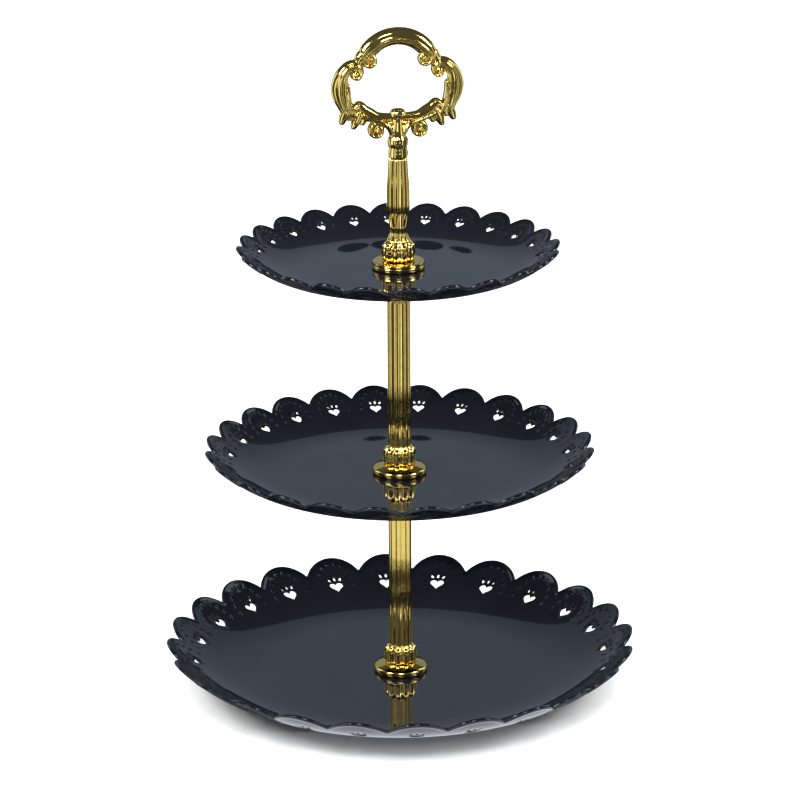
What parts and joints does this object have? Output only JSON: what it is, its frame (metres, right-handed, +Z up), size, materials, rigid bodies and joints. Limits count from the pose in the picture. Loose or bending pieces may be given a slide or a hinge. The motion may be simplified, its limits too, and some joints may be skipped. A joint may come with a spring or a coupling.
{
  "type": "tiered cake stand",
  "caption": "Tiered serving stand: round dished plates with scalloped, heart-pierced rims on a ribbed metal post that screws together under an ornate ring handle.",
  "frame": {"origin": "on the table under the centre of the post, at the bottom plate's foot ring", "axes": "+Z up the post, +X along the width of the handle's ring, +Y away from the viewer"},
  "size_m": [0.2616, 0.2616, 0.3755],
  "materials": {
    "plate_black": "high gloss, black with a slight navy cast",
    "post_gold": "bright mirror gold plating on a die casting",
    "fastener_steel": "zinc-plated",
    "soft_washer": "matt"
  },
  "bodies": {
    "base": {"bottom_plate": "plate_black"},
    "post": {"base_screw": "fastener_steel", "base_washer": "fastener_steel", "lower_gasket": "soft_washer", "lower_flange": "post_gold", "lower_rod": "post_gold", "lower_stud": "fastener_steel", "middle_pad": "soft_washer"},
    "middle_tier": {"middle_plate": "plate_black"},
    "upper_collar": {"upper_flange": "post_gold", "middle_gasket": "soft_washer"},
    "upper_post": {"upper_rod": "post_gold", "upper_stud": "fastener_steel", "upper_pad": "soft_washer"},
    "top_tier": {"top_plate": "plate_black"},
    "handle_collar": {"handle_disc": "post_gold", "upper_gasket": "soft_washer"},
    "handle": {"handle_stem": "post_gold", "ring_stud": "fastener_steel", "handle_ring": "post_gold"}
  },
  "joints": [
    {"name": "post_turn", "type": "hinge", "parent": "base", "child": "post", "pos_m": [0, 0, 0.0062], "axis": [0, 0, 1], "continuous": true},
    {"name": "middle_plate_turn", "type": "hinge", "parent": "post", "child": "middle_tier", "pos_m": [0, 0, 0.124], "axis": [0, 0, 1], "continuous": true},
    {"name": "upper_post_rise", "type": "slide", "parent": "post", "child": "upper_collar", "axis": [0, 0, 1], "range_m": [0, 0.008]},
    {"name": "upper_post_unscrew", "type": "hinge", "parent": "upper_collar", "child": "upper_post", "pos_m": [0, 0, 0.124], "axis": [0, 0, 1], "range_deg": [0, 2881]},
    {"name": "top_plate_turn", "type": "hinge", "parent": "upper_post", "child": "top_tier", "pos_m": [0, 0, 0.2418], "axis": [0, 0, 1], "continuous": true},
    {"name": "handle_rise", "type": "slide", "parent": "upper_post", "child": "handle_collar", "axis": [0, 0, 1], "range_m": [0, 0.008]},
    {"name": "handle_unscrew", "type": "hinge", "parent": "handle_collar", "child": "handle", "pos_m": [0, 0, 0.2418], "axis": [0, 0, 1], "range_deg": [0, 2881]}
  ],
  "couplings": [
    {"joint": "upper_post_unscrew", "follows": "upper_post_rise", "rad_per_m": 6283.2},
    {"joint": "handle_unscrew", "follows": "handle_rise", "rad_per_m": 6283.2}
  ]
}
